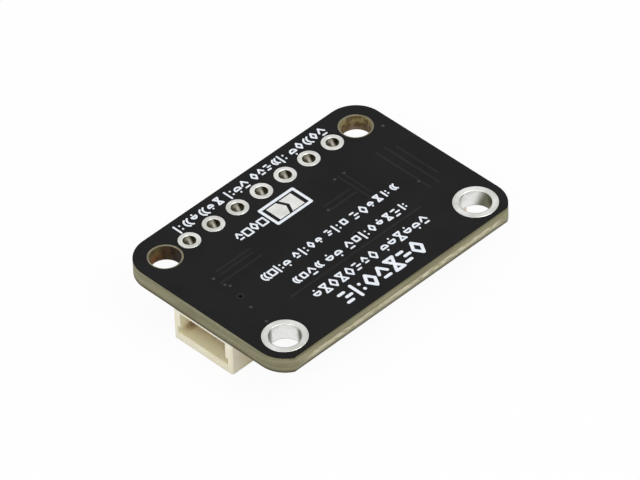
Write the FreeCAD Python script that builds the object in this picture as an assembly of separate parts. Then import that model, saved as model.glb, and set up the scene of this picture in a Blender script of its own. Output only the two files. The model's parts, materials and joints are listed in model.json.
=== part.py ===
import FreeCAD, Part
import os
from math import cos, pi, sin

Vector = FreeCAD.Vector

# The board lies level with its solder side up and its components hanging below it.
# The origin is the middle of the board's outline, at the lowest face of the cable connectors.
# +X runs along the board, and the header row lies along the +Y edge. All sizes are in mm.

# Board, routed round three sides and trimmed along the -Y side
board_length = 25.2
board_width = 17.72
corner_radius = 2.5
core_thickness = 1.38
mask_thickness = 0.05
mask_inset = 0.02
mask_clearance = 0.05
window_sides = 24
land_thickness = 0.07
print_thickness = 0.02
plating_thickness = 0.04

# The -Y edge is snapped off along a scored line: a broken web between two slanted grooves
score_trim = 0.16
score_web = 0.26
score_run = 0.17

# Mounting holes in the corners: the pair beside the header is bare, the other pair is plated
hole_inset_x = 2.44
hole_inset_y = 2.51
bare_hole_radius = 1.25
bare_hole_mask_clearance = 0.17
plated_hole_radius = 1.25
plated_hole_land_radius = 1.775

# Header row, in line with the bare mounting holes: as many holes as fit between them
header_pitch = 2.54
header_end_clearance = 0.15
header_bore_radius = 0.51
header_land_radius = 0.90

# Solder jumper on the solder side: two pads parted by an arrow-shaped gap, in a printed frame
jumper_offset = 2.57
jumper_half_length = 1.30
jumper_half_width = 0.78
jumper_gap = 0.30
jumper_gap_back = -0.12
jumper_gap_tip = 0.25
frame_half_length = 1.94
frame_half_width = 1.19
frame_line = 0.30
frame_corner_radius = 0.25

# Printed rows of plain bars on the solder side: each row's middle, bar height and bar lengths
bar_gap = 0.45
header_print = (0.3, 0.9, [4.9, 2.2, 3.6, 3.75])
header_print_offset = 1.45
jumper_print = (-3.65, 1.0, [3.0])

# The rows below the jumper, each with its share of the way up from the board's edge to the frame
lower_prints = [
    (0.186, (-0.25, 1.5, [8.5])),
    (0.346, (0.4, 0.9, [6.6, 4.95])),
    (0.529, (0.4, 0.9, [3.0, 1.6, 6.6])),
    (0.706, (0.22, 0.85, [2.9, 3.0, 2.3, 4.9])),
]

# Cable connector: a side-entry shroud, mouth flush with the board's short edge
connector_depth = 4.25
connector_width = 6.2
connector_height = 2.95
connector_edge_chamfer = 0.12
mouth_depth = 3.1
mouth_width = 4.8
key_slot_width = 5.3
key_slot_height = 0.75
lip_thickness = 0.18
outer_wall = 0.60
mouth_lead_in = 0.15
rear_slot_depth = 0.6
rear_slot_width = 0.5
contact_pitch = 1.0
contact_count = 4
contact_width = 0.3
contact_thickness = 0.2
contact_tip_setback = 1.1
contact_height = 1.3
contact_foot_length = 0.6
tab_setback = 0.6
tab_length = 1.0
tab_thickness = 0.2
tab_height = 0.8
tab_foot = 0.45

# Sensor: a small land-grid package with a metal lid and one vent hole
sensor_size = 3.0
sensor_base_thickness = 0.25
sensor_height = 0.93
sensor_lid_inset = 0.10
sensor_lid_radius = 0.30
sensor_lid_wall = 0.12
sensor_lid_edge = 0.08
sensor_vent_radius = 0.22
sensor_vent_offset = 0.75
sensor_die_size = 1.1
sensor_die_thickness = 0.3
sensor_land_pitch = 0.8
sensor_land_length = 0.5
sensor_land_width = 0.45

# Moulded packages with bent leads
regulator_length = 2.9
regulator_width = 1.6
regulator_height = 1.15
regulator_span = 2.8
transistor_length = 2.9
transistor_width = 1.3
transistor_height = 1.0
transistor_span = 2.4
diode_length = 1.25
diode_width = 1.7
diode_height = 0.95
diode_span = 2.5
package_standoff = 0.08
package_draft = 0.08
lead_pitch = 0.95
lead_width = 0.4
lead_thickness = 0.15
lead_foot = 0.4

# Ceramic chips with metal end caps
small_chip_length = 1.6
small_chip_width = 0.8
small_chip_end = 0.3
small_capacitor_height = 0.8
resistor_height = 0.45
large_chip_length = 2.0
large_chip_width = 1.25
large_chip_end = 0.4
large_capacitor_height = 1.2
cap_thickness = 0.03
resistor_pack_length = 3.2
resistor_pack_width = 1.6
resistor_pack_height = 0.5
resistor_pack_pitch = 0.8
resistor_pack_end_length = 0.3
resistor_pack_end_width = 0.45
land_margin = 0.25
land_side_margin = 0.05

# The room for components: inside the connectors' lands, the header's lands and the board's edge
component_clearance = 0.3
component_rows = 3

# Heights that follow from the sizes above
front_mask_face = connector_height
core_bottom = front_mask_face + mask_thickness
core_top = core_bottom + core_thickness
front_land_face = core_bottom - land_thickness
back_mask_face = core_top + mask_thickness
back_land_face = core_top + land_thickness
land_step = land_thickness - mask_thickness

# Places that follow from the sizes above
middle_y = -score_trim / 2
web_y = middle_y - board_width / 2 + score_trim
trimmed_y = web_y + score_run
hole_x = board_length / 2 - hole_inset_x
header_y = middle_y + board_width / 2 - hole_inset_y
lower_hole_y = middle_y - board_width / 2 + hole_inset_y
bare_hole_places = [(-hole_x, header_y), (hole_x, header_y)]
plated_hole_places = [(-hole_x, lower_hole_y), (hole_x, lower_hole_y)]
hole_keep_out = bare_hole_radius + bare_hole_mask_clearance + header_end_clearance
header_reach = hole_x - hole_keep_out - header_land_radius
header_count = int(2 * header_reach / header_pitch) + 1
header_places = [
    ((i - (header_count - 1) / 2) * header_pitch, header_y) for i in range(header_count)
]
jumper_y = header_y - jumper_offset
room_x = (
    board_length / 2
    - connector_depth
    - contact_foot_length
    - land_margin
    - component_clearance
)
room_low = trimmed_y + component_clearance
room_high = header_y - header_land_radius - component_clearance
row_height = (room_high - room_low) / component_rows

front_lands = []
mask_windows = []
nodes = {}


def rounded_wire(x, y, z, length, width, radius):
    """A level rectangle centred on x, y, with round corners."""
    hx = length / 2
    hy = width / 2
    edges = []
    corners = [(1, 1), (-1, 1), (-1, -1), (1, -1)]
    for i, (sx, sy) in enumerate(corners):
        centre = Vector(x + sx * (hx - radius), y + sy * (hy - radius), z)
        edges.append(Part.makeCircle(radius, centre, Vector(0, 0, 1), 90 * i, 90 * i + 90))
    wire = []
    for i, arc in enumerate(edges):
        following = edges[(i + 1) % 4]
        wire.append(arc)
        wire.append(Part.makeLine(arc.Vertexes[-1].Point, following.Vertexes[0].Point))
    return Part.Wire(wire)


def rounded_plate(x, y, z, length, width, radius, height):
    """A slab with round corners that stands on z."""
    face = Part.Face(rounded_wire(x, y, z, length, width, radius))
    return face.extrude(Vector(0, 0, height))


def box(x0, x1, y0, y1, z0, z1):
    """A box given by its low and high corners."""
    return Part.makeBox(x1 - x0, y1 - y0, z1 - z0, Vector(x0, y0, z0))


def pegs(places, radius, z0, z1):
    """Round pegs at each place, to cut holes with."""
    return [Part.makeCylinder(radius, z1 - z0, Vector(x, y, z0)) for x, y in places]


def land_windows(places, land_radius, z0, z1):
    """Windows round the ringed holes. They are many-sided, which keeps the sheets light."""
    radius = land_radius + mask_clearance
    windows = []
    for x, y in places:
        corners = []
        for i in range(window_sides):
            angle = 2 * pi * i / window_sides
            corners.append((x + radius * cos(angle), y + radius * sin(angle)))
        windows.append(prism(corners, "z", z0, z1))
    return windows


def prism(points, axis, low, high):
    """A polygon in the plane across an axis, drawn out along it from low to high."""
    if axis == "y":
        corners = [Vector(a, low, b) for a, b in points]
        step = Vector(0, high - low, 0)
    elif axis == "x":
        corners = [Vector(low, a, b) for a, b in points]
        step = Vector(high - low, 0, 0)
    else:
        corners = [Vector(a, b, low) for a, b in points]
        step = Vector(0, 0, high - low)
    return Part.Face(Part.makePolygon(corners + corners[:1])).extrude(step)


def rivet(x, y, bore, land, z_low, z_high):
    """Plating through a hole: a thin barrel with a flat ring on each side of the board."""
    barrel = bore + plating_thickness
    outline = [
        (bore, z_low),
        (land, z_low),
        (land, core_bottom),
        (barrel, core_bottom),
        (barrel, core_top),
        (land, core_top),
        (land, z_high),
        (bore, z_high),
    ]
    corners = [Vector(r, 0, z) for r, z in outline]
    face = Part.Face(Part.makePolygon(corners + corners[:1]))
    turned = face.revolve(Vector(0, 0, 0), Vector(0, 0, 1), 360)
    turned.translate(Vector(x, y, 0))
    return turned


def seat(shape, place):
    """Turn a component that stands on z = 0 and hang it from the board's front lands."""
    x, y, turn = place
    seated = shape.copy()
    seated.rotate(Vector(0, 0, 0), Vector(0, 0, 1), turn)
    seated.rotate(Vector(0, 0, 0), Vector(1, 0, 0), 180)
    seated.translate(Vector(x, y, front_land_face))
    return seated


def add_lands(place, lands):
    """Solder lands under a component, in its own frame, that share one window in the mask."""
    solids = [seat(box(*land, -land_thickness, 0), place) for land in lands]
    front_lands.extend(solids)
    b = Part.makeCompound(solids).BoundBox
    gap = mask_clearance
    mask_windows.append(
        box(b.XMin - gap, b.XMax + gap, b.YMin - gap, b.YMax + gap, front_mask_face, core_bottom)
    )


def add_node(name, solids):
    """Keep one named piece, or one group of like pieces."""
    nodes[name] = solids


def chip_end(length, width, height, end, body):
    """The metal cap on the low-X end of a chip, wrapped round its body."""
    return box(-length / 2, -length / 2 + end, -width / 2, width / 2, 0, height).cut(body)


def add_chip(name, place, length, width, height, end, wraps_sides):
    """A ceramic chip: a block with a metal cap at each end."""
    side = cap_thickness if wraps_sides else 0
    body = box(
        -length / 2 + cap_thickness,
        length / 2 - cap_thickness,
        -width / 2 + side,
        width / 2 - side,
        cap_thickness,
        height - cap_thickness,
    )
    low_end = chip_end(length, width, height, end, body)
    high_end = low_end.mirror(Vector(0, 0, 0), Vector(1, 0, 0))
    add_node(name + "_body", [seat(body, place)])
    add_node(name + "_ends", [seat(low_end, place), seat(high_end, place)])
    half = width / 2 + land_side_margin
    inner = length / 2 - end
    outer = length / 2 + land_margin
    add_lands(place, [(-outer, -inner, -half, half)])
    add_lands(place, [(inner, outer, -half, half)])


def add_resistor_pack(name, place):
    """Four resistors on one ceramic block, with a row of end caps along each side."""
    length = resistor_pack_length
    width = resistor_pack_width
    height = resistor_pack_height
    body = box(
        -length / 2,
        length / 2,
        -width / 2 + cap_thickness,
        width / 2 - cap_thickness,
        cap_thickness,
        height - cap_thickness,
    )
    ends = []
    half = resistor_pack_end_width / 2
    for side in (-1, 1):
        lands = []
        for i in range(4):
            x = (i - 1.5) * resistor_pack_pitch
            outer = side * width / 2
            inner = outer - side * resistor_pack_end_length
            low, high = sorted((outer, inner))
            ends.append(seat(box(x - half, x + half, low, high, 0, height).cut(body), place))
            low, high = sorted((outer + side * land_margin, inner))
            lands.append((x - half, x + half, low, high))
        add_lands(place, lands)
    add_node(name + "_body", [seat(body, place)])
    add_node(name + "_ends", ends)


def bent_lead(x, side, width, span, height):
    """One lead that leaves the moulding at half height, drops to the board and turns out."""
    middle = (package_standoff + height) / 2
    t = lead_thickness
    start = width / 2 - package_draft
    tip = span / 2
    heel = tip - lead_foot
    profile = [
        (start, middle - t / 2),
        (heel, middle - t / 2),
        (heel, 0),
        (tip, 0),
        (tip, t),
        (heel + t, t),
        (heel + t, middle + t / 2),
        (start, middle + t / 2),
    ]
    points = [(side * y, z) for y, z in profile]
    return prism(points, "x", x - lead_width / 2, x + lead_width / 2)


def add_leaded_package(name, place, length, width, height, span, low_leads, high_leads):
    """A moulded body, widest at half height, with bent leads along two sides."""
    middle = (package_standoff + height) / 2

    def ring(z, inset):
        hx = length / 2 - inset
        hy = width / 2 - inset
        corners = [Vector(-hx, -hy, z), Vector(hx, -hy, z), Vector(hx, hy, z), Vector(-hx, hy, z)]
        return Part.makePolygon(corners + corners[:1])

    rings = [ring(package_standoff, package_draft), ring(middle, 0), ring(height, package_draft)]
    body = Part.makeLoft(rings, True, True)
    leads = []
    for side, columns in ((-1, low_leads), (1, high_leads)):
        low, high = sorted((side * (span / 2 - lead_foot), side * (span / 2 + land_margin)))
        half = lead_width / 2 + land_side_margin
        lands = []
        for column in columns:
            x = column * lead_pitch
            leads.append(bent_lead(x, side, width, span, height))
            lands.append((x - half, x + half, low, high))
        add_lands(place, lands)
    body = body.cut(Part.makeCompound(leads))
    add_node(name + "_body", [seat(body, place)])
    add_node(name + "_leads", [seat(lead, place) for lead in leads])


def add_sensor(place):
    """The sensor: a laminate base, a die on it, and a metal lid with a vent hole."""
    half = sensor_size / 2
    top = sensor_height
    floor = sensor_base_thickness
    base = box(-half, half, -half, half, 0, floor)
    lid_size = sensor_size - 2 * sensor_lid_inset
    outside = rounded_plate(0, 0, floor, lid_size, lid_size, sensor_lid_radius, top - floor)
    rim = [e for e in outside.Edges if e.BoundBox.ZMin > (floor + top) / 2]
    outside = outside.makeChamfer(sensor_lid_edge, rim)
    reach = lid_size / 2 - sensor_lid_wall
    inside = box(-reach, reach, -reach, reach, floor, top - sensor_lid_wall)
    vent = pegs([(-sensor_vent_offset, sensor_vent_offset)], sensor_vent_radius, floor, top)
    lid = outside.cut(inside).cut(vent[0])
    reach = sensor_die_size / 2
    die = box(-reach, reach, -reach, reach, floor, floor + sensor_die_thickness)
    add_node("sensor_base", [seat(base, place)])
    add_node("sensor_die", [seat(die, place)])
    add_node("sensor_lid", [seat(lid, place)])
    for side in (-1, 1):
        low, high = sorted((side * half, side * (half - sensor_land_length)))
        lands = []
        for i in range(4):
            x = (i - 1.5) * sensor_land_pitch
            lands.append((x - sensor_land_width / 2, x + sensor_land_width / 2, low, high))
        add_lands(place, lands)


def contact_columns():
    """Where the connector's contacts stand across its width."""
    return [(i - (contact_count - 1) / 2) * contact_pitch for i in range(contact_count)]


def contact(y):
    """One contact: a blade in the mouth, a leg down the back wall and a foot behind it."""
    low = contact_height - contact_thickness / 2
    high = contact_height + contact_thickness / 2
    leg = connector_depth - rear_slot_depth
    back = leg + contact_thickness
    tip = contact_tip_setback
    taper = contact_thickness / 4
    profile = [
        (tip, low + taper),
        (tip + contact_thickness, low),
        (leg, low),
        (leg, 0),
        (connector_depth + contact_foot_length, 0),
        (connector_depth + contact_foot_length, contact_thickness),
        (back, contact_thickness),
        (back, high),
        (tip + contact_thickness, high),
        (tip, high - taper),
    ]
    return prism(profile, "y", y - contact_width / 2, y + contact_width / 2)


def side_tab(side):
    """One metal tab let into the connector's side, with its foot turned out on the board."""
    face = connector_width / 2
    profile = [
        (face - tab_thickness, 0),
        (face + tab_foot, 0),
        (face + tab_foot, tab_thickness),
        (face, tab_thickness),
        (face, tab_height),
        (face - tab_thickness, tab_height),
    ]
    points = [(side * y, z) for y, z in profile]
    return prism(points, "x", tab_setback, tab_setback + tab_length)


def connector_housing(contacts, tabs):
    """The moulded shroud: mouth at x = 0, board side down, keyed on the side away from the board."""
    low = -land_step
    high = connector_height - land_step
    depth = connector_depth
    shell = box(0, depth, -connector_width / 2, connector_width / 2, low, high)
    uprights = [e for e in shell.Edges if e.BoundBox.ZLength > connector_height / 2]
    shell = shell.makeChamfer(connector_edge_chamfer, uprights)
    mouth_low = low + lip_thickness
    mouth_high = high - outer_wall
    key_low = mouth_high - key_slot_height
    half = mouth_width / 2
    key_half = key_slot_width / 2
    mouth = [
        (-half, mouth_low),
        (half, mouth_low),
        (half, key_low),
        (key_half, key_low),
        (key_half, mouth_high),
        (-key_half, mouth_high),
        (-key_half, key_low),
        (-half, key_low),
    ]
    shell = shell.cut(prism(mouth, "x", 0, mouth_depth))
    lead_in = [(0, mouth_high), (mouth_lead_in, mouth_high), (0, mouth_high + mouth_lead_in)]
    shell = shell.cut(prism(lead_in, "y", -key_half, key_half))
    slot_top = contact_height + contact_thickness
    for y in contact_columns():
        reach = rear_slot_width / 2
        slot = box(depth - rear_slot_depth, depth, y - reach, y + reach, low, slot_top)
        shell = shell.cut(slot)
    return shell.cut(Part.makeCompound(contacts + tabs))


def add_connector(prefix, place):
    """A cable connector with its contacts, side tabs and solder lands."""
    contacts = [contact(y) for y in contact_columns()]
    tabs = [side_tab(side) for side in (-1, 1)]
    add_node(prefix + "_housing", [seat(connector_housing(contacts, tabs), place)])
    add_node(prefix + "_contacts", [seat(piece, place) for piece in contacts])
    add_node(prefix + "_tabs", [seat(piece, place) for piece in tabs])
    half = contact_width / 2 + land_side_margin
    toe = connector_depth + contact_foot_length + land_margin
    add_lands(place, [(connector_depth, toe, y - half, y + half) for y in contact_columns()])
    for side in (-1, 1):
        face = side * connector_width / 2
        low, high = sorted((face, face + side * (tab_foot + land_margin)))
        tab_end = tab_setback + tab_length + land_side_margin
        add_lands(place, [(tab_setback - land_side_margin, tab_end, low, high)])


def regulator(place):
    sizes = (regulator_length, regulator_width, regulator_height, regulator_span)
    add_leaded_package("regulator", place, *sizes, (-1, 0, 1), (-1, 1))


def transistor(number):
    sizes = (transistor_length, transistor_width, transistor_height, transistor_span)

    def build(place):
        add_leaded_package(f"transistor_{number}", place, *sizes, (-1, 1), (0,))

    return build


def diode(place):
    sizes = (diode_length, diode_width, diode_height, diode_span)
    add_leaded_package("diode", place, *sizes, (0,), (0,))


def resistor_pack(place):
    add_resistor_pack("resistor_pack", place)


def large_capacitor(number):
    sizes = (large_chip_length, large_chip_width, large_capacitor_height, large_chip_end)
    return lambda place: add_chip(f"large_capacitor_{number}", place, *sizes, True)


def small_capacitor(number):
    sizes = (small_chip_length, small_chip_width, small_capacitor_height, small_chip_end)
    return lambda place: add_chip(f"small_capacitor_{number}", place, *sizes, True)


def resistor(number):
    sizes = (small_chip_length, small_chip_width, resistor_height, small_chip_end)
    return lambda place: add_chip(f"resistor_{number}", place, *sizes, False)


def lay_row(row, components):
    """Spread components along a row. Each is given as its builder, its width there and its turn."""
    y = room_low + (row + 0.5) * row_height
    gap = (2 * room_x - sum(width for _, width, _ in components)) / (len(components) + 1)
    x = -room_x
    for build, width, turn in components:
        x += gap + width / 2
        build((x, y, turn))
        x += width / 2


def add_components():
    """Everything that is soldered to the hidden face."""
    add_connector("near_connector", (-board_length / 2, middle_y, 0))
    add_connector("far_connector", (board_length / 2, middle_y, 180))
    pack_width = resistor_pack_width + 2 * land_margin
    sensor_row = [
        (regulator, regulator_length, 0),
        (small_capacitor(1), small_chip_width, 90),
        (add_sensor, sensor_size, 0),
        (small_capacitor(2), small_chip_width, 90),
        (diode, diode_length, 0),
    ]
    middle_row = [
        (large_capacitor(1), large_chip_width, 90),
        (large_capacitor(2), large_chip_width, 90),
        (resistor(1), small_chip_width, 90),
        (resistor(2), small_chip_width, 90),
        (resistor(3), small_chip_width, 90),
    ]
    header_row = [
        (transistor(1), transistor_length, 0),
        (transistor(2), transistor_length, 0),
        (resistor(4), small_chip_width, 90),
        (resistor_pack, pack_width, 90),
    ]
    for row, components in enumerate((sensor_row, middle_row, header_row)):
        lay_row(row, components)


def snapped_off():
    """The strip beyond the board's -Y edge, with a scored groove on each side of the break."""
    outside = middle_y - board_width / 2 - score_trim
    score_depth = (core_thickness - score_web) / 2
    outline = [
        (outside, core_bottom),
        (trimmed_y, core_bottom),
        (web_y, core_bottom + score_depth),
        (web_y, core_top - score_depth),
        (trimmed_y, core_top),
        (outside, core_top),
    ]
    return prism(outline, "x", -board_length / 2, board_length / 2)


def add_core():
    """The glass-epoxy board with every drilled hole."""
    core = rounded_plate(
        0, middle_y, core_bottom, board_length, board_width, corner_radius, core_thickness
    )
    core = core.cut(snapped_off())
    holes = pegs(bare_hole_places, bare_hole_radius, core_bottom, core_top)
    for places, radius in (
        (plated_hole_places, plated_hole_radius),
        (header_places, header_bore_radius),
    ):
        holes += pegs(places, radius + plating_thickness, core_bottom, core_top)
    add_node("board_core", [core.cut(Part.makeCompound(holes))])


def mask_sheet(z0, z1, openings):
    """One coat of solder mask, a little inside the board's edge, with windows cut in it."""
    length = board_length - 2 * mask_inset
    width = board_width - 2 * mask_inset
    sheet = rounded_plate(0, middle_y, z0, length, width, corner_radius - mask_inset, z1 - z0)
    outside = middle_y - board_width / 2
    sheet = sheet.cut(box(-length / 2, length / 2, outside, trimmed_y + mask_inset, z0, z1))
    bare_opening = bare_hole_radius + bare_hole_mask_clearance
    openings = openings + pegs(bare_hole_places, bare_opening, z0, z1)
    openings += land_windows(plated_hole_places, plated_hole_land_radius, z0, z1)
    openings += land_windows(header_places, header_land_radius, z0, z1)
    return sheet.cut(Part.makeCompound(openings))


def add_plating():
    """The metal that lines the header holes and two of the mounting holes."""
    low = front_land_face
    high = back_land_face
    add_node(
        "header_hole_plating",
        [rivet(x, y, header_bore_radius, header_land_radius, low, high) for x, y in header_places],
    )
    add_node(
        "mounting_hole_plating",
        [
            rivet(x, y, plated_hole_radius, plated_hole_land_radius, low, high)
            for x, y in plated_hole_places
        ],
    )


def jumper_pads(z0, z1, margin=0):
    """The two jumper pads, or their windows when given a margin, with an arrow-shaped gap between."""
    low = jumper_y - jumper_half_width - margin
    high = jumper_y + jumper_half_width + margin
    gap = jumper_gap - 2 * margin
    back = jumper_gap_back - gap / 2
    tip = jumper_gap_tip - gap / 2
    end = jumper_half_length + margin
    left = [(-end, low), (back, low), (tip, jumper_y), (back, high), (-end, high)]
    back += gap
    tip += gap
    right = [(end, high), (back, high), (tip, jumper_y), (back, low), (end, low)]
    return [prism(left, "z", z0, z1), prism(right, "z", z0, z1)]


def jumper_frame(z0, z1):
    """The printed line round the jumper."""
    length = 2 * frame_half_length
    width = 2 * frame_half_width
    outer = rounded_plate(0, jumper_y, z0, length, width, frame_corner_radius, z1 - z0)
    hx = frame_half_length - frame_line
    hy = frame_half_width - frame_line
    return outer.cut(box(-hx, hx, jumper_y - hy, jumper_y + hy, z0, z1))


def print_row(row, y, z0, z1):
    """One row of plain bars, centred on its place."""
    middle, height, lengths = row
    x = middle - (sum(lengths) + bar_gap * (len(lengths) - 1)) / 2
    bars = []
    for length in lengths:
        bars.append(box(x, x + length, y - height / 2, y + height / 2, z0, z1))
        x += length + bar_gap
    return bars


def print_bars(z0, z1):
    """The rows beside the header and the jumper, and those that share the space below it."""
    bars = print_row(header_print, header_y + header_print_offset, z0, z1)
    bars += print_row(jumper_print, jumper_y, z0, z1)
    low = middle_y - board_width / 2
    room = jumper_y - frame_half_width - low
    for share, row in lower_prints:
        bars += print_row(row, low + share * room, z0, z1)
    return bars


def add_board():
    """The board with its two coats of mask, its lands and its printing."""
    add_core()
    add_plating()
    pads = jumper_pads(core_top, back_land_face)
    add_node("address_jumper_pads", pads)
    windows = jumper_pads(core_top, back_mask_face, mask_clearance)
    add_node("back_solder_mask", [mask_sheet(core_top, back_mask_face, windows)])
    print_top = back_mask_face + print_thickness
    frame = jumper_frame(back_mask_face, print_top)
    add_node("back_print", [frame] + print_bars(back_mask_face, print_top))
    add_node("front_solder_mask", [mask_sheet(front_mask_face, core_bottom, mask_windows)])
    add_node("component_lands", front_lands)


add_components()
add_board()

os.makedirs("parts", exist_ok=True)
for name, solids in nodes.items():
    shape = solids[0] if len(solids) == 1 else Part.makeCompound(solids)
    shape.exportStep(f"parts/{name}.step")
print(len(nodes), "nodes,", sum(len(s) for s in nodes.values()), "solids")
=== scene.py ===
import json
import math
import random

import bmesh
import bpy
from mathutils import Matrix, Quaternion, Vector


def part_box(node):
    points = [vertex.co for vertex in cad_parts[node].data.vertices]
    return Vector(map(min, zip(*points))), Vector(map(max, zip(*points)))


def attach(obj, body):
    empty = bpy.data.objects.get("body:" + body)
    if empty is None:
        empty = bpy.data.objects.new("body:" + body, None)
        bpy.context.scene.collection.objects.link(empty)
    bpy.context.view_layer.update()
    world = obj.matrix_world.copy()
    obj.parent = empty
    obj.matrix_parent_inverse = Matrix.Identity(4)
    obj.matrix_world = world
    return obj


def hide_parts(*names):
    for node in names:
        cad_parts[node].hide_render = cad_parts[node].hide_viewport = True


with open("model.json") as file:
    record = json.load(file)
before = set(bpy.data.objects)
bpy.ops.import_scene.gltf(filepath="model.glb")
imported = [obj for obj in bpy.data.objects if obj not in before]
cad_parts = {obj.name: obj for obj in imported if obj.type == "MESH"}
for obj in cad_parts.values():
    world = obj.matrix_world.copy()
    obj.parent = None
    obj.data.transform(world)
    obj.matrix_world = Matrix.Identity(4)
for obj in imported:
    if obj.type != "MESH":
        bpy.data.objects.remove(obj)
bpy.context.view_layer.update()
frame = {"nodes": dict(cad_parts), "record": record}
nodes = frame["nodes"]
MM = 0.001

# Points of a CAD mesh closer together than this, in m, are one point
MERGE_DISTANCE = 1e-7


def heights(node):
    """The lowest and highest level of a CAD node, in mm."""
    low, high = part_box(node)
    return low.z / MM, high.z / MM


# Heights in mm, from the frame
CORE_BOTTOM, CORE_TOP = heights("board_core")
FRONT_LAND_FACE, LAND_FACE = heights("mounting_hole_plating")
FRONT_MASK_FACE = heights("front_solder_mask")[0]
MASK_FACE = heights("back_solder_mask")[1]

# Places in mm, from the frame's mounts
mounts = {m["name"]: m for m in frame["record"]["mounts"]}
corner_holes = mounts["mounting_holes"]["dims"]
header = mounts["header_row"]["dims"]
MIDDLE_Y = mounts["mounting_holes"]["pos_m"][1] / MM
HEADER_Y = mounts["header_row"]["pos_m"][1] / MM
HOLE_X = corner_holes["spacing_x_mm"] / 2
LOWER_HOLE_Y = MIDDLE_Y - corner_holes["spacing_y_mm"] / 2
HOLE_RADIUS = corner_holes["hole_r_mm"]
HEADER_BORE = header["hole_r_mm"]
HEADER_X = [(i - (header["count"] - 1) / 2) * header["spacing_x_mm"] for i in range(header["count"])]

# Sizes in mm of what the scene shapes anew
HEADER_LAND = 0.90
CORNER_LAND = 1.775
LAND_EDGE = 0.05
PLATING = 0.04
RIM_RADIUS = 0.075
RIM_STEPS = 8
FRAME_LINE = 0.25
FRAME_GAP = 0.335
FRAME_SIDE_GAP = 0.12
FRAME_CORNER = 0.15
FRAME_INNER_CORNER = 0.03
FRAME_INK = 0.019

# How far, in mm, the colour of a drilled wall or of a flat face reaches past it
WALL_SKIN = 0.012
FACE_SKIN = 0.001

# The direction, in plan, that runs to the right in the photograph. The drilled walls, the bores and
# the rings' rims are shaded by it, as they look from there.
PICTURE_RIGHT = (0.705, -0.709)


# Materials

def linear(r, g, b):
    """An 8-bit screen colour as linear light."""
    out = []
    for c in (r, g, b):
        c /= 255
        out.append(c / 12.92 if c <= 0.04045 else ((c + 0.055) / 1.055) ** 2.4)
    return (*out, 1.0)


class Paint:
    """A small builder for one procedural material."""

    def __init__(self, name, colour, rough, metal=0.0, gloss=0.5):
        self.mat = bpy.data.materials.new(name)
        self.mat.use_nodes = True
        self.tree = self.mat.node_tree
        self.bsdf = self.tree.nodes["Principled BSDF"]
        self.set("Base Color", colour)
        self.set("Roughness", rough)
        self.set("Metallic", metal)
        self.set("Specular IOR Level", gloss)
        self.coords = self.tree.nodes.new("ShaderNodeTexCoord").outputs["Object"]
        self.bump = None

    def set(self, socket, value):
        self.bsdf.inputs[socket].default_value = value

    def node(self, kind, **inputs):
        n = self.tree.nodes.new(kind)
        for key, value in inputs.items():
            self.feed(n.inputs[key.replace("_", " ")], value)
        return n

    def feed(self, socket, value):
        if isinstance(value, bpy.types.NodeSocket):
            self.tree.links.new(value, socket)
        else:
            socket.default_value = value

    def math(self, op, a, b=0.0):
        n = self.tree.nodes.new("ShaderNodeMath")
        n.operation = op
        self.feed(n.inputs[0], a)
        self.feed(n.inputs[1], b)
        return n.outputs[0]

    def stretched(self, sx, sy, sz):
        """The object's coordinates, stretched by a factor along each axis."""
        n = self.node("ShaderNodeMapping", Vector=self.coords)
        n.inputs["Scale"].default_value = (sx, sy, sz)
        return n.outputs["Vector"]

    def noise(self, scale, detail=2.0, vector=None):
        n = self.node("ShaderNodeTexNoise", Scale=scale, Detail=detail)
        self.feed(n.inputs["Vector"], vector or self.coords)
        return n.outputs["Fac"]

    def span(self, value, low, high, out_low=0.0, out_high=1.0):
        n = self.tree.nodes.new("ShaderNodeMapRange")
        n.interpolation_type = "SMOOTHSTEP"
        self.feed(n.inputs["Value"], value)
        limits = {"From Min": low, "From Max": high, "To Min": out_low, "To Max": out_high}
        for key, limit in limits.items():
            self.feed(n.inputs[key], limit)
        return n.outputs["Result"]

    def mix(self, fac, a, b):
        n = self.tree.nodes.new("ShaderNodeMix")
        n.data_type = "RGBA"
        self.feed(n.inputs[0], fac)
        self.feed(n.inputs[6], a)
        self.feed(n.inputs[7], b)
        return n.outputs[2]

    def axis(self, name):
        return self.node("ShaderNodeSeparateXYZ", Vector=self.coords).outputs[name]

    def offset(self, x, y):
        """The two steps, in plan, from a place given in mm to a point of the surface."""
        return self.math("SUBTRACT", self.axis("X"), x * MM), self.math("SUBTRACT", self.axis("Y"), y * MM)

    def row_offset(self, first_x, pitch, y):
        """The two steps, in plan, from the nearest hole of a row to a point of the surface."""
        along = self.math("ADD", self.axis("X"), (pitch / 2 - first_x) * MM)
        dx = self.math("SUBTRACT", self.math("FLOORED_MODULO", along, pitch * MM), pitch / 2 * MM)
        return dx, self.math("SUBTRACT", self.axis("Y"), y * MM)

    def length(self, dx, dy):
        square = self.math("ADD", self.math("MULTIPLY", dx, dx), self.math("MULTIPLY", dy, dy))
        return self.math("SQRT", square)

    def rightward(self, dx, dy, radius):
        """A step as seen in the photograph, from -1 at the left of a hole's radius to 1 at its right."""
        right_x, right_y = PICTURE_RIGHT
        step = self.math("ADD", self.math("MULTIPLY", dx, right_x), self.math("MULTIPLY", dy, right_y))
        return self.math("DIVIDE", step, radius * MM)

    def colour(self, socket):
        self.feed(self.bsdf.inputs["Base Color"], socket)

    def rough(self, socket):
        self.feed(self.bsdf.inputs["Roughness"], socket)

    def relief(self, height, distance, strength=1.0):
        n = self.node("ShaderNodeBump", Height=height, Distance=distance, Strength=strength)
        if self.bump is not None:
            self.feed(n.inputs["Normal"], self.bump)
        self.bump = n.outputs["Normal"]
        self.feed(self.bsdf.inputs["Normal"], self.bump)


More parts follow.
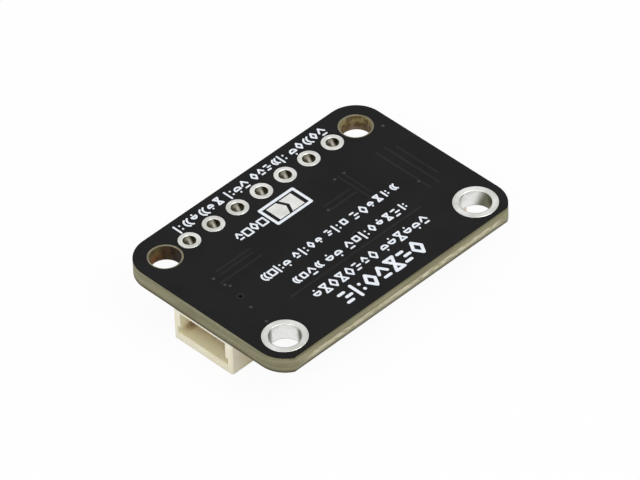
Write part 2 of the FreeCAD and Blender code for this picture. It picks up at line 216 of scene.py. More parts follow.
def make_mask(name="solder_mask_black", lift=0):
    """Satin black lacquer. Over copper it lies a little higher and looks a little paler."""
    p = Paint(name, linear(20, 20, 21), 0.45, gloss=0.09)
    cloud = p.noise(240, 3)
    grain = p.noise(9000, 2)
    dark = linear(16 + lift, 16 + lift, 17 + lift)
    pale = linear(21 + lift, 21 + lift, 21 + lift)
    p.colour(p.mix(p.span(cloud, 0.35, 0.65), dark, pale))
    p.rough(p.span(p.noise(900, 3), 0.3, 0.7, 0.455, 0.485))
    p.relief(grain, 0.003 * MM, 0.5)
    return p.mat


def make_laminate():
    """Glass epoxy: olive edges in thin layers, brown drilled walls, and pale rings at the bare holes."""
    p = Paint("glass_epoxy", linear(132, 128, 97), 0.6, gloss=0.15)
    layers = p.noise(1.0, 3, p.stretched(220, 220, 4200))
    fibre = p.noise(1.0, 4, p.stretched(1500, 1500, 9000))
    blotch = p.noise(300, 3)
    edge = p.mix(p.span(layers, 0.3, 0.7), linear(122, 118, 91), linear(144, 140, 113))
    edge = p.mix(p.span(fibre, 0.52, 0.8, 0.0, 0.6), edge, linear(170, 166, 139))
    edge = p.mix(p.span(blotch, 0.5, 0.8, 0.0, 0.5), edge, linear(111, 102, 77))

    # The broken web of the snapped edge is paler than the scored faces beside it, with a stronger grain:
    # partly its own broken fibres, partly a painted highlight along it. The scored face above it is dim
    # with a painted shade under the mask's rim
    web_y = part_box("board_core")[0].y
    level = p.axis("Z")
    far_out = p.math("ABSOLUTE", p.axis("X"))
    broken = p.math("LESS_THAN", p.axis("Y"), web_y + 0.02 * MM)
    broken = p.math("MULTIPLY", broken, p.span(far_out, 9.6 * MM, 10.9 * MM, 1.0, 0.1))
    web = p.mix(p.span(fibre, 0.35, 0.65), linear(154, 148, 116), linear(204, 199, 172))
    scored = p.math("LESS_THAN", p.axis("Y"), web_y + 0.40 * MM)
    rim_shade = p.span(level, (CORE_TOP - 0.28) * MM, CORE_TOP * MM, 0.0, 0.55)
    edge = p.mix(p.math("MULTIPLY", scored, rim_shade), edge, linear(74, 70, 48))
    edge = p.mix(broken, edge, web)

    # The edge is painted darker along its foot, a painted shade on its lower corner
    foot_shade = p.span(level, CORE_BOTTOM * MM, (CORE_BOTTOM + 0.34) * MM, 0.95, 0.0)
    edge = p.mix(foot_shade, edge, linear(74, 68, 48))

    # The drilled walls: the near one brown, with painted light at its left and painted shade at its right,
    # and the far one tan, painted lighter
    upper_wall = p.span(level, (CORE_BOTTOM + 0.3) * MM, (CORE_TOP - 0.3) * MM)
    stain = p.noise(1500, 3)
    smear = p.noise(1100, 2)
    wall_reach = (HOLE_RADIUS + WALL_SKIN) * MM
    near = p.offset(-HOLE_X, HEADER_Y)
    left_side = p.mix(upper_wall, linear(132, 88, 52), linear(104, 92, 56))
    left_side = p.mix(p.span(stain, 0.45, 0.65, 0.0, 0.7), left_side, linear(66, 52, 27))
    right_side = p.mix(p.span(stain, 0.4, 0.62), linear(34, 23, 12), linear(72, 55, 32))
    across = p.rightward(*near, HOLE_RADIUS)
    near_wall = p.mix(p.span(across, -0.55, -0.05), left_side, right_side)
    near_wall = p.mix(p.span(across, 0.4, 0.85), near_wall, linear(42, 36, 22))
    in_near = p.math("LESS_THAN", p.length(*near), wall_reach)
    edge = p.mix(in_near, edge, near_wall)
    far = p.offset(HOLE_X, HEADER_Y)
    far_wall = p.mix(upper_wall, linear(128, 108, 78), linear(160, 146, 98))
    far_wall = p.mix(p.span(smear, 0.46, 0.58, 0.0, 0.85), far_wall, linear(158, 138, 118))
    far_wall = p.mix(p.span(stain, 0.47, 0.6, 0.0, 0.85), far_wall, linear(98, 80, 48))
    in_far = p.math("LESS_THAN", p.length(*far), wall_reach)
    edge = p.mix(in_far, edge, far_wall)

    # Of the flat faces only thin rings at the bare holes show, a little off the holes' middles. Their pale
    # tone is partly bare laminate and partly a painted highlight on the holes' far top edges
    ring_shift = 0.055
    ring_reach = (HOLE_RADIUS + 0.14) * MM
    rings = [p.length(*p.offset(x + ring_shift, HEADER_Y + ring_shift)) for x in (-HOLE_X, HOLE_X)]
    ring = p.mix(p.span(fibre, 0.4, 0.7), linear(122, 116, 96), linear(142, 137, 114))
    in_ring = p.math("LESS_THAN", p.math("MINIMUM", *rings), ring_reach)
    flat = p.mix(in_ring, linear(22, 22, 20), ring)
    upper = p.math("GREATER_THAN", level, (CORE_TOP - FACE_SKIN) * MM)
    lower = p.math("LESS_THAN", level, (CORE_BOTTOM + FACE_SKIN) * MM)
    p.colour(p.mix(p.math("MAXIMUM", upper, lower), edge, flat))
    p.rough(p.span(fibre, 0.3, 0.7, 0.5, 0.75))
    p.relief(fibre, 0.012 * MM, 0.7)
    p.relief(layers, 0.012 * MM, 0.4)
    return p.mat


def make_tin(name="tinned_solder", low=202, high=224, rough=(0.26, 0.44), swirl=0.02):
    p = Paint(name, linear(214, 214, 210), 0.34, metal=1.0)
    cloud = p.noise(900, 3)
    p.colour(p.mix(p.span(cloud, 0.32, 0.68), linear(low, low, low - 4), linear(high, high, high - 2)))
    p.rough(p.span(p.noise(2600, 2), 0.3, 0.7, *rough))
    p.relief(cloud, swirl * MM, 0.5)
    return p.mat


def make_rings(name, first_x, pitch, y, bore, shade):
    """Tinned rings with fine turned marks on their faces and a painted shade on the near side of the rim.

    Their smooth bores get painted light and shade from shade.
    """
    p = Paint(name, linear(214, 214, 210), 0.34, metal=1.0)
    dx, dy = p.row_offset(first_x, pitch, y)
    out = p.length(dx, dy)
    turned = p.noise(9000, 1, p.node("ShaderNodeCombineXYZ", X=out).outputs[0])
    cloud = p.noise(700, 3)
    mixed_marks = p.math("ADD", p.math("MULTIPLY", turned, 0.45), p.math("MULTIPLY", cloud, 0.55))
    face = p.mix(p.span(mixed_marks, 0.4, 0.6), linear(200, 200, 195), linear(226, 226, 223))

    # The rolled rim gets a painted shade on the side that is nearer the camera
    right_x, right_y = PICTURE_RIGHT
    nearer = p.math("SUBTRACT", p.math("MULTIPLY", dx, right_y), p.math("MULTIPLY", dy, right_x))
    near_side = p.span(nearer, 0.2 * bore * MM, 0.7 * bore * MM, 0.0, 0.85)
    rim_shade = p.span(out, (bore + 0.055) * MM, (bore + 0.085) * MM, 1.0, 0.0)
    face = p.mix(p.math("MULTIPLY", near_side, rim_shade), face, linear(84, 83, 74))
    in_bore = p.math("LESS_THAN", out, (bore + WALL_SKIN) * MM)
    p.colour(p.mix(in_bore, face, shade(p, p.rightward(dx, dy, bore))))
    p.rough(p.span(p.noise(2600, 2), 0.3, 0.7, 0.28, 0.42))
    p.relief(turned, 0.006 * MM, 0.5)
    return p.mat


def wide_bore_shade(p, across):
    """Painted reflection and shade: a bright wall, darker at its left and right ends and at its foot.

    In the far hole its right half is darker too.
    """
    far = p.math("GREATER_THAN", p.axis("X"), 0.0)
    right_end = p.span(across, 0.68, 0.88, 0.0, 0.8)
    left_end = p.span(p.math("MULTIPLY", across, -1.0), 0.72, 0.92)
    left_end = p.math("MULTIPLY", left_end, p.span(far, 0.0, 1.0, 0.9, 0.25))
    wall = p.mix(p.math("MAXIMUM", right_end, left_end), linear(236, 236, 234), linear(88, 89, 76))
    depth = p.math("SUBTRACT", LAND_FACE * MM, p.axis("Z"))
    slanted = p.math("ADD", across, p.math("MULTIPLY", depth, 0.3 / MM))
    right_half = p.math("MULTIPLY", p.span(slanted, 0.07, 0.77), far)
    wall = p.mix(right_half, wall, linear(104, 102, 84))
    foot = p.span(p.axis("Z"), (FRONT_LAND_FACE + 0.02) * MM, (FRONT_LAND_FACE + 0.16) * MM, 0.6, 0.0)
    return p.mix(foot, wall, linear(120, 118, 106))


def narrow_bore_shade(p, across):
    """Painted reflection and shade: grey at the left and a bright slanting streak.

    Dark at the right and low at the left.
    """
    depth = p.math("SUBTRACT", LAND_FACE * MM, p.axis("Z"))
    slanted = p.math("SUBTRACT", across, p.math("MULTIPLY", depth, 0.55 / MM))
    wall = p.mix(p.span(slanted, -1.1, -0.5), linear(160, 158, 138), linear(255, 253, 244))
    low_left = p.math("MULTIPLY", p.span(depth, 0.3 * MM, 0.65 * MM), p.span(slanted, -0.7, -0.4, 0.9, 0.0))
    wall = p.mix(low_left, wall, linear(66, 60, 42))
    wall = p.mix(p.span(slanted, -0.3, 0.1), wall, linear(84, 76, 54))
    wall = p.mix(p.span(depth, 0.5 * MM, 0.95 * MM, 0.0, 0.6), wall, linear(104, 100, 78))
    return p.mix(p.span(across, 0.55, 0.95), wall, linear(178, 174, 158))


def make_ink():
    p = Paint("white_ink", linear(232, 237, 243), 0.6, gloss=0.3)
    grain = p.noise(6000, 3)
    p.colour(p.mix(p.span(grain, 0.3, 0.7), linear(222, 229, 237), linear(240, 244, 249)))
    p.rough(p.span(grain, 0.3, 0.7, 0.5, 0.72))
    p.relief(grain, 0.004 * MM, 0.5)
    return p.mat


def make_nylon():
    """Cream nylon that lets some light in.

    It has painted shade deep in the mouth and towards the back, and painted light at the mouth's front.
    """
    p = Paint("cream_nylon", linear(244, 238, 214), 0.44, gloss=0.4)
    cloud = p.noise(600, 3)
    grain = p.noise(12000, 2)
    out = p.math("ABSOLUTE", p.axis("X"))
    sideways = p.math("ABSOLUTE", p.math("SUBTRACT", p.axis("Y"), MIDDLE_Y * MM))
    body = p.mix(p.span(cloud, 0.3, 0.7), linear(240, 232, 206), linear(248, 242, 220))
    # In the mouth: painted shade, warm and dark deep in, and painted light at its front
    inside = p.mix(p.span(out, 9.4 * MM, 12.1 * MM), linear(172, 144, 98), linear(255, 247, 214))
    inside_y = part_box("near_connector_housing")[1].y / MM - MIDDLE_Y - 0.35
    in_mouth = p.math("LESS_THAN", sideways, inside_y * MM)
    in_mouth = p.math("MULTIPLY", in_mouth, p.math("LESS_THAN", out, 12.45 * MM))
    # Outside: a painted shade, tan towards the back under the board
    outside = p.mix(p.span(out, 10.4 * MM, 12.55 * MM), linear(214, 199, 161), body)
    colour = p.mix(in_mouth, outside, inside)

    # Two bands of painted shade run in along each side of the mouth
    bands = p.math("ABSOLUTE", p.math("SINE", p.math("MULTIPLY", p.axis("Z"), 2.6 / MM)))
    at_side = p.span(sideways, 2.0 * MM, 2.35 * MM)
    deep_side = p.math("MULTIPLY", at_side, p.span(out, 11.2 * MM, 12.3 * MM, 1.0, 0.0))
    mouth_side_shade = p.math("MULTIPLY", deep_side, p.span(bands, 0.35, 0.9, 0.1, 0.6))
    p.colour(p.mix(p.math("MULTIPLY", mouth_side_shade, in_mouth), colour, linear(164, 130, 90)))
    p.rough(p.span(cloud, 0.3, 0.7, 0.38, 0.5))
    p.set("Subsurface Weight", 0.35)
    p.set("Subsurface Radius", (1.0, 0.8, 0.5))
    p.set("Subsurface Scale", 0.4 * MM)
    p.relief(grain, 0.003 * MM, 0.6)
    return p.mat


def make_epoxy():
    p = Paint("black_epoxy", linear(38, 38, 40), 0.6, gloss=0.35)
    grain = p.noise(9000, 3)
    p.colour(p.mix(p.span(grain, 0.35, 0.7), linear(30, 30, 32), linear(52, 52, 54)))
    p.rough(p.span(grain, 0.3, 0.7, 0.5, 0.75))
    p.relief(grain, 0.01 * MM, 0.8)
    return p.mat


def make_capacitor():
    p = Paint("tan_ceramic", linear(176, 146, 112), 0.4, gloss=0.5)
    grain = p.noise(5000, 3)
    p.colour(p.mix(p.span(grain, 0.3, 0.7), linear(158, 127, 94), linear(190, 160, 124)))
    p.rough(p.span(grain, 0.3, 0.7, 0.3, 0.5))
    p.relief(grain, 0.006 * MM, 0.5)
    return p.mat


def make_resistor(low_face):
    """White ceramic with a dark glass coat over the face away from the board."""
    p = Paint("resistor_ceramic", linear(222, 220, 212), 0.4, gloss=0.5)
    grain = p.noise(5000, 2)
    bare = p.mix(p.span(grain, 0.3, 0.7), linear(206, 204, 196), linear(230, 228, 221))
    coat = p.mix(p.span(grain, 0.3, 0.7), linear(20, 20, 24), linear(34, 34, 38))
    glazed = p.math("LESS_THAN", p.axis("Z"), (low_face + 0.05) * MM)
    p.colour(p.mix(glazed, bare, coat))
    p.rough(p.span(glazed, 0, 1, 0.5, 0.18))
    p.relief(grain, 0.004 * MM, 0.5)
    return p.mat


def make_lid():
    p = Paint("sensor_lid_metal", linear(196, 196, 192), 0.3, metal=1.0)
    brushed = p.noise(1.0, 3, p.stretched(14000, 500, 500))
    p.colour(p.mix(p.span(brushed, 0.3, 0.7), linear(182, 182, 178), linear(206, 206, 203)))
    p.rough(p.span(brushed, 0.3, 0.7, 0.24, 0.42))
    p.relief(brushed, 0.004 * MM, 0.5)
    return p.mat


def make_base():
    p = Paint("sensor_laminate", linear(44, 62, 44), 0.5, gloss=0.4)
    layers = p.noise(1.0, 2, p.stretched(900, 900, 12000))
    p.colour(p.mix(p.span(layers, 0.3, 0.7), linear(34, 50, 34), linear(74, 82, 58)))
    p.rough(p.span(layers, 0.3, 0.7, 0.4, 0.6))
    return p.mat


def make_silicon():
    p = Paint("silicon_die", linear(92, 92, 104), 0.16, metal=0.6)
    cells = p.tree.nodes.new("ShaderNodeTexBrick")
    p.feed(cells.inputs["Vector"], p.coords)
    cells.inputs["Scale"].default_value = 3000
    cells.inputs["Color1"].default_value = linear(96, 96, 108)
    cells.inputs["Color2"].default_value = linear(82, 84, 98)
    cells.inputs["Mortar"].default_value = linear(60, 60, 70)
    p.colour(cells.outputs["Color"])
    return p.mat


def make_well():
    """A painted shadow of a small hole, on a flat disc."""
    p = Paint("hole_shadow", linear(5, 5, 5), 0.9, gloss=0.05)
    p.colour(p.mix(p.span(p.noise(6000, 2), 0.3, 0.7), linear(2, 2, 2), linear(8, 8, 8)))
    return p.mat


mask = make_mask()
mask_on_copper = make_mask("solder_mask_on_copper", 14)
mask_on_fill = make_mask("solder_mask_on_filled_hole", 44)
laminate = make_laminate()
tin = make_tin()
wide_rings = make_rings(
    "wide_rings", -HOLE_X, 2 * HOLE_X, LOWER_HOLE_Y, HOLE_RADIUS, wide_bore_shade
)
header_tin = make_rings(
    "header_tin", HEADER_X[0], header["spacing_x_mm"], HEADER_Y, HEADER_BORE, narrow_bore_shade
)
pad_tin = make_tin("pad_solder", 212, 230, (0.36, 0.5))
solder = make_tin("solder_fillet", 196, 226, (0.12, 0.3))
contact_metal = make_tin("contact_plating", 188, 214, (0.2, 0.36))
ink = make_ink()
nylon = make_nylon()
epoxy = make_epoxy()
ceramic = make_capacitor()
lid_metal = make_lid()
base_laminate = make_base()
silicon = make_silicon()
well = make_well()


# Mesh helpers. Their sizes are in mm.

def put(name, mesh, material, replaced=()):
    """Adds a finished mesh as a piece that rides on the board."""
    obj = bpy.data.objects.new(name, mesh)
    bpy.context.scene.collection.objects.link(obj)
    mesh.materials.clear()
    mesh.materials.append(material)
    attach(obj, "root")
    if replaced:
        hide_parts(*replaced)
    return obj


def to_mesh(name, verts, faces, smooth_angle=None):
    mesh = bpy.data.meshes.new(name)
    mesh.from_pydata([(x * MM, y * MM, z * MM) for x, y, z in verts], [], faces)
    bm = bmesh.new()
    bm.from_mesh(mesh)
    bmesh.ops.recalc_face_normals(bm, faces=bm.faces)
    bm.to_mesh(mesh)
    bm.free()
    if smooth_angle:
        mesh.shade_smooth()
        mesh.set_sharp_from_angle(angle=math.radians(smooth_angle))
    return mesh


def lathe(verts, faces, profile, x, y, steps=72):
    """A closed outline of (radius, height) turned about an upright line."""
    start, n = len(verts), len(profile)
    for i in range(steps):
        a = 2 * math.pi * i / steps
        verts.extend((x + r * math.cos(a), y + r * math.sin(a), z) for r, z in profile)
    for i in range(steps):
        for j in range(n):
            a, b = start + i * n, start + (i + 1) % steps * n
            k = (j + 1) % n
            faces.append((a + j, b + j, b + k, a + k))


def slab(verts, faces, outline, z0, z1):
    """A flat polygon with thickness. Its outline is a list of (x, y)."""
    n, start = len(outline), len(verts)
    verts.extend((x, y, z0) for x, y in outline)
    verts.extend((x, y, z1) for x, y in outline)
    faces.append(tuple(start + i for i in reversed(range(n))))
    faces.append(tuple(start + n + i for i in range(n)))
    for i in range(n):
        k = (i + 1) % n
        faces.append((start + i, start + k, start + n + k, start + n + i))


def capsule(a, b, width, steps=6):
    """The outline of a pen stroke from a to b with round ends."""
    (ax, ay), (bx, by) = a, b
    angle = math.atan2(by - ay, bx - ax)
    r = width / 2
    points = []
    for cx, cy, turn in ((bx, by, -math.pi / 2), (ax, ay, math.pi / 2)):
        for i in range(steps + 1):
            t = angle + turn + math.pi * i / steps
            points.append((cx + r * math.cos(t), cy + r * math.sin(t)))
    return points


def curved_stroke(cx, cy, radius, from_deg, to_deg, width, steps=14, cap=5):
    """The outline of a pen stroke along an arc, with round ends."""
    points = []
    first, last = math.radians(from_deg), math.radians(to_deg)
    half = width / 2
    for i in range(steps + 1):
        t = first + (last - first) * i / steps
        points.append((cx + (radius + half) * math.cos(t), cy + (radius + half) * math.sin(t)))
    for end, start_turn in ((last, 0), (first, math.pi)):
        ex, ey = cx + radius * math.cos(end), cy + radius * math.sin(end)
        for i in range(1, cap):
            t = end + start_turn + math.pi * i / cap
            points.append((ex + half * math.cos(t), ey + half * math.sin(t)))
        if end == last:
            for i in range(steps + 1):
                t = last + (first - last) * i / steps
                points.append((cx + (radius - half) * math.cos(t), cy + (radius - half) * math.sin(t)))
    return points


def rounded(cx, cy, hx, hy, radius, steps=6):
    """The outline of a rectangle with round corners."""
    points = []
    for i, (sx, sy) in enumerate(((1, 1), (-1, 1), (-1, -1), (1, -1))):
        for k in range(steps + 1):
            t = math.pi / 2 * (i + k / steps)
            x = cx + sx * (hx - radius) + radius * math.cos(t)
            y = cy + sy * (hy - radius) + radius * math.sin(t)
            points.append((x, y))
    return points


def collar(verts, faces, outer, inner, z0, z1):
    """A flat ring between two outlines that have as many points."""
    n, start = len(outer), len(verts)
    for outline, z in ((outer, z0), (inner, z0), (inner, z1), (outer, z1)):
        verts.extend((x, y, z) for x, y in outline)
    for i in range(n):
        k = (i + 1) % n
        for lap in range(4):
            a, b = start + lap * n, start + (lap + 1) % 4 * n
            faces.append((a + i, a + k, b + k, b + i))


def islands(node):
    """The lowest and highest corner, in mm, of each separate solid in a CAD node."""
    bm = bmesh.new()
    bm.from_mesh(nodes[node].data)
    bmesh.ops.remove_doubles(bm, verts=bm.verts, dist=MERGE_DISTANCE)
    left = set(bm.verts)
    found = []
    while left:
        group = [left.pop()]
        for v in group:
            for edge in v.link_edges:
                other = edge.other_vert(v)
                if other in left:
                    left.discard(other)
                    group.append(other)
        low = tuple(round(min(v.co[i] for v in group) / MM, 4) for i in range(3))
        high = tuple(round(max(v.co[i] for v in group) / MM, 4) for i in range(3))
        found.append((low, high))
    bm.free()
    return sorted(found)


def rounded_edges(obj, width, segments):
    bevel = obj.modifiers.new("edges", "BEVEL")
    bevel.width = width * MM
    bevel.segments = segments
    bevel.limit_method = "ANGLE"
    bevel.angle_limit = math.radians(30)
    bevel.harden_normals = True
    bevel.use_clamp_overlap = True


def soften(node, width, material, segments=2):
    """Puts a copy of a CAD node, with its edges rounded, in that node's place."""
    mesh = nodes[node].data.copy()
    bm = bmesh.new()
    bm.from_mesh(mesh)
    bmesh.ops.remove_doubles(bm, verts=bm.verts, dist=MERGE_DISTANCE)
    bmesh.ops.dissolve_limit(
        bm, angle_limit=math.radians(1), verts=bm.verts, edges=bm.edges, delimit=set()
    )
    bmesh.ops.recalc_face_normals(bm, faces=bm.faces)
    bm.to_mesh(mesh)
    bm.free()
    mesh.shade_flat()
    obj = put(node + "_soft", mesh, material, (node,))
    rounded_edges(obj, width, segments)


def assign(node, material):
    mesh = nodes[node].data
    if mesh.materials:
        mesh.materials[0] = material
    else:
        mesh.materials.append(material)


# Board

assign("back_solder_mask", mask)
assign("front_solder_mask", mask)
assign("board_core", laminate)


def ring_profile(bore, land):
    """Plating through a hole with rolled rims and slightly crowned rings."""
    top = []
    for i in range(RIM_STEPS + 1):
        a = math.pi / 2 * i / RIM_STEPS
        top.append((bore + RIM_RADIUS * (1 - math.cos(a)), LAND_FACE - RIM_RADIUS * (1 - math.sin(a))))

    # Each step of the crown is a share of the way from the bore to the land's edge, and a drop in mm
    crown = ((0.30, 0.002), (0.42, 0.009), (0.6, 0.011), (0.8, 0.006), (0.93, 0.014), (0.985, 0.03))
    for share, drop in crown:
        top.append((bore + (land - bore) * share, LAND_FACE - drop))
    top.append((land, LAND_FACE - LAND_EDGE))
    top.append((land, CORE_TOP))
    top.append((bore + PLATING, CORE_TOP))
    middle = (FRONT_LAND_FACE + LAND_FACE) / 2
    bottom = [(r, 2 * middle - z) for r, z in reversed(top)]
    return top + bottom


def plated_holes(name, places, bore, land, paint, node):
    verts, faces = [], []
    for x, y in places:
        lathe(verts, faces, ring_profile(bore, land), x, y)
    put(name, to_mesh(name, verts, faces, smooth_angle=40), paint, (node,))


plated_holes(
    "header_rings",
    [(x, HEADER_Y) for x in HEADER_X],
    HEADER_BORE,
    HEADER_LAND,
    header_tin,
    "header_hole_plating",
)
plated_holes(
    "mounting_rings",
    [(-HOLE_X, LOWER_HOLE_Y), (HOLE_X, LOWER_HOLE_Y)],
    HOLE_RADIUS,
    CORNER_LAND,
    wide_rings,
    "mounting_hole_plating",
)
soften("address_jumper_pads", 0.035, pad_tin, segments=3)


# Print

# Each mark is a plain shape of a few pen strokes in a cell 0.6 wide and 1 high: straight ones as two
# ends, and curved ones as a centre, a radius and two angles.
MARK_WIDTH = 0.6
SQUARE = [
    ((0.0, 0.15), (0.6, 0.15)),
    ((0.6, 0.15), (0.6, 0.85)),
    ((0.6, 0.85), (0.0, 0.85)),
    ((0.0, 0.85), (0.0, 0.15)),
]
DIAMOND = [
    ((0.3, 0.0), (0.6, 0.5)),
    ((0.6, 0.5), (0.3, 1.0)),
    ((0.3, 1.0), (0.0, 0.5)),
    ((0.0, 0.5), (0.3, 0.0)),
]
DOME = [(0.3, 0.4, 0.3, 0, 180), ((0.0, 0.36), (0.6, 0.36)), ((0.3, 0.0), (0.3, 0.03))]
BOWL = [(0.3, 0.6, 0.3, 180, 360), ((0.0, 0.64), (0.6, 0.64)), ((0.3, 0.97), (0.3, 1.0))]
ROOF = [((0.0, 0.45), (0.3, 0.95)), ((0.3, 0.95), (0.6, 0.45)), ((0.1, 0.08), (0.5, 0.08))]
HOURGLASS = [
    ((0.0, 1.0), (0.6, 1.0)),
    ((0.03, 0.95), (0.57, 0.05)),
    ((0.57, 0.95), (0.03, 0.05)),
    ((0.0, 0.0), (0.6, 0.0)),
]
STEPS = [((0.0, 0.12), (0.36, 0.12)), ((0.24, 0.5), (0.6, 0.5)), ((0.0, 0.88), (0.36, 0.88))]
POST = [((0.06, 0.0), (0.06, 1.0)), ((0.5, 0.25), (0.5, 0.28)), ((0.5, 0.72), (0.5, 0.75))]
RIPPLES = [(0.55, 0.5, 0.5, 120, 240), (0.9, 0.5, 0.5, 120, 240)]
MARKS = [SQUARE, DIAMOND, DOME, BOWL, ROOF, HOURGLASS, STEPS, POST, RIPPLES]

# In mm: how far the marks reach past the CAD's bars, the two pens, and the height from which a row
# takes the wide one
MARK_RISE = 0.08
THIN_PEN = 0.155
WIDE_PEN = 0.27
WIDE_ROW = 1.3

# The space between two marks is the first value, in mm, and the second one times the pen's width
MARK_SPACE = 0.06
PEN_SHARE = 0.4

# The ink's least height over the mask, in mm, and the steps above it that the strokes take in turn
INK_HEIGHT = 0.0150
STROKE_STEP = 0.0011
STROKE_HEIGHTS = 4

# Some marks in the thin rows, picked at random, are short, and stand towards the header
SHORT_SHARE = 0.4
SHORT_CUT = 0.18
MARK_SEED = 11


def print_marks():
    """The jumper's frame, and rows of plain pen marks in place of the CAD's printed bars."""
    rng = random.Random(MARK_SEED)
    verts, faces = [], []
    count = 0

    def draw(mark, x, y, height, pen):
        """One mark. Its strokes take a few heights in turn, so that crossing ones don't share a face."""
        nonlocal count
        reach = height - pen

        def at(px, py):
            return x + pen / 2 + px * reach, y + pen / 2 + py * reach

        for stroke in mark:
            if len(stroke) == 2:
                outline = capsule(at(*stroke[0]), at(*stroke[1]), pen)
            else:
                cx, cy, radius, first, last = stroke
                outline = curved_stroke(*at(cx, cy), radius * reach, first, last, pen)
            count += 1
            top = MASK_FACE + INK_HEIGHT + STROKE_STEP * (count % STROKE_HEIGHTS)
            slab(verts, faces, outline, MASK_FACE, top)

    low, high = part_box("address_jumper_pads")
    cx, cy = (low.x + high.x) / 2 / MM, (low.y + high.y) / 2 / MM
    inner_x = high.x / MM - cx + FRAME_GAP
    inner_y = high.y / MM - cy + FRAME_SIDE_GAP
    outer = rounded(cx, cy, inner_x + FRAME_LINE, inner_y + FRAME_LINE, FRAME_CORNER)
    inner = rounded(cx, cy, inner_x, inner_y, FRAME_INNER_CORNER)
    collar(verts, faces, outer, inner, MASK_FACE, MASK_FACE + FRAME_INK)

    for low, high in islands("back_print"):
        if low[0] < cx < high[0] and low[1] < cy < high[1]:
            continue
        width = high[0] - low[0]
        height = high[1] - low[1] + 2 * MARK_RISE
        pen = THIN_PEN if height < WIDE_ROW else WIDE_PEN
        space = MARK_SPACE + PEN_SHARE * pen
        number = max(1, round((width + space) / (MARK_WIDTH * (height - pen) + pen + space)))
        pitch = (width + space) / number
        last = None
        for i in range(number):
            mark = rng.choice([m for m in MARKS if m is not last])
            short = pen == THIN_PEN and rng.random() < SHORT_SHARE
            cut = height * SHORT_CUT if short else 0
            x = low[0] + i * pitch + MARK_WIDTH * cut / 2
            draw(mark, x, low[1] - MARK_RISE + cut, height - cut, pen)
            last = mark
    put("print_marks", to_mesh("print_marks", verts, faces), ink, ("back_print",))


print_marks()


# Tracks and small track holes, as relief on the mask

TRACK_WIDTH = 0.2
TRACK_RISE = 0.006
TRACK_SINK = 0.005

# Outlines of the track holes, turned in so many steps: each point is a radius and a rise over the mask
DARK_DISC = [(0.0, 0.0), (0.17, 0.0), (0.17, 0.003), (0.0, 0.003)]
DISC_RIM = [(0.15, 0.0), (0.19, 0.010), (0.27, 0.008), (0.31, 0.0)]
FILLED_DOT = [(0.0, 0.0), (0.0, 0.012), (0.08, 0.010), (0.13, 0.0)]
DISC_STEPS = 28
DOT_STEPS = 24


def tracks():
    """Ridges where the copper runs under the mask, on both faces."""
    verts, faces = [], []
    back = [
        [(-8.7, 2.27), (-5.1, 2.27)],
        [(-8.7, 1.82), (-5.3, 1.82)],
        [(-9.4, 1.12), (-5.1, 1.12)],
        [(9.0, 2.92), (9.0, -2.78)],
        [(9.9, 2.92), (9.9, -2.78)],
        [(10.6, 2.32), (10.6, -2.08)],
        [(5.1, 3.22), (5.1, -0.08)],
        [(5.6, 3.22), (5.6, 0.22)],
        [(2.0, 0.92), (4.8, 0.92)],
        [(2.0, 1.52), (4.6, 1.52)],
        [(-6.8, -3.78), (6.9, -3.78)],
    ]
    front = [
        [(-7.4, 0.5), (-5.0, 0.5), (-5.0, 3.0)],
        [(-7.4, -0.5), (-3.6, -0.5), (-3.6, 2.4)],
        [(7.4, 0.5), (5.6, 0.5), (5.6, -2.0)],
        [(7.4, -0.5), (6.2, -1.7), (6.2, -4.0)],
        [(-2.0, -4.4), (-2.0, 0.5), (1.5, 0.5)],
        [(2.0, -4.0), (2.0, 1.5)],
    ]
    for lines, low, high in (
        (back, MASK_FACE - TRACK_SINK, MASK_FACE + TRACK_RISE),
        (front, FRONT_MASK_FACE - TRACK_RISE, FRONT_MASK_FACE + TRACK_SINK),
    ):
        for line in lines:
            for a, b in zip(line, line[1:]):
                slab(verts, faces, capsule(a, b, TRACK_WIDTH), low, high)
    put("track_relief", to_mesh("track_relief", verts, faces), mask_on_copper)


def on_mask(outline):
    """An outline of (radius, rise) set on the mask's face."""
    return [(radius, MASK_FACE + rise) for radius, rise in outline]


def vias():
    """Dark discs in raised rims for the track holes that look open, and dots for the filled ones.

    The dark discs are painted shadow.
    """
    wells, rims, dots = [], [], []
    well_faces, rim_faces, dot_faces = [], [], []
    for x, y in ((-9.4, -0.98), (5.15, -0.48), (1.4, -2.38)):
        lathe(wells, well_faces, on_mask(DARK_DISC), x, y, DISC_STEPS)
        lathe(rims, rim_faces, on_mask(DISC_RIM), x, y, DISC_STEPS)
    for x, y in (
        (-9.4, 1.87), (-9.3, 0.77), (-9.1, 0.42), (-9.7, -2.38), (-10.0, -4.33),
        (1.9, 1.02), (4.7, 3.12), (5.7, 3.12), (8.9, -1.68), (11.6, 4.77),
    ):
        lathe(dots, dot_faces, on_mask(FILLED_DOT), x, y, DOT_STEPS)
    put("via_wells", to_mesh("via_wells", wells, well_faces), well)
    put("via_rims", to_mesh("via_rims", rims, rim_faces, smooth_angle=60), mask_on_copper)
    put("filled_vias", to_mesh("filled_vias", dots, dot_faces, smooth_angle=60), mask_on_fill)


tracks()
vias()


# Connectors

for side in ("near", "far"):
    soften(f"{side}_connector_housing", 0.05, nylon, segments=3)
    soften(f"{side}_connector_contacts", 0.02, contact_metal)
    soften(f"{side}_connector_tabs", 0.03, contact_metal)


# Components on the hidden face

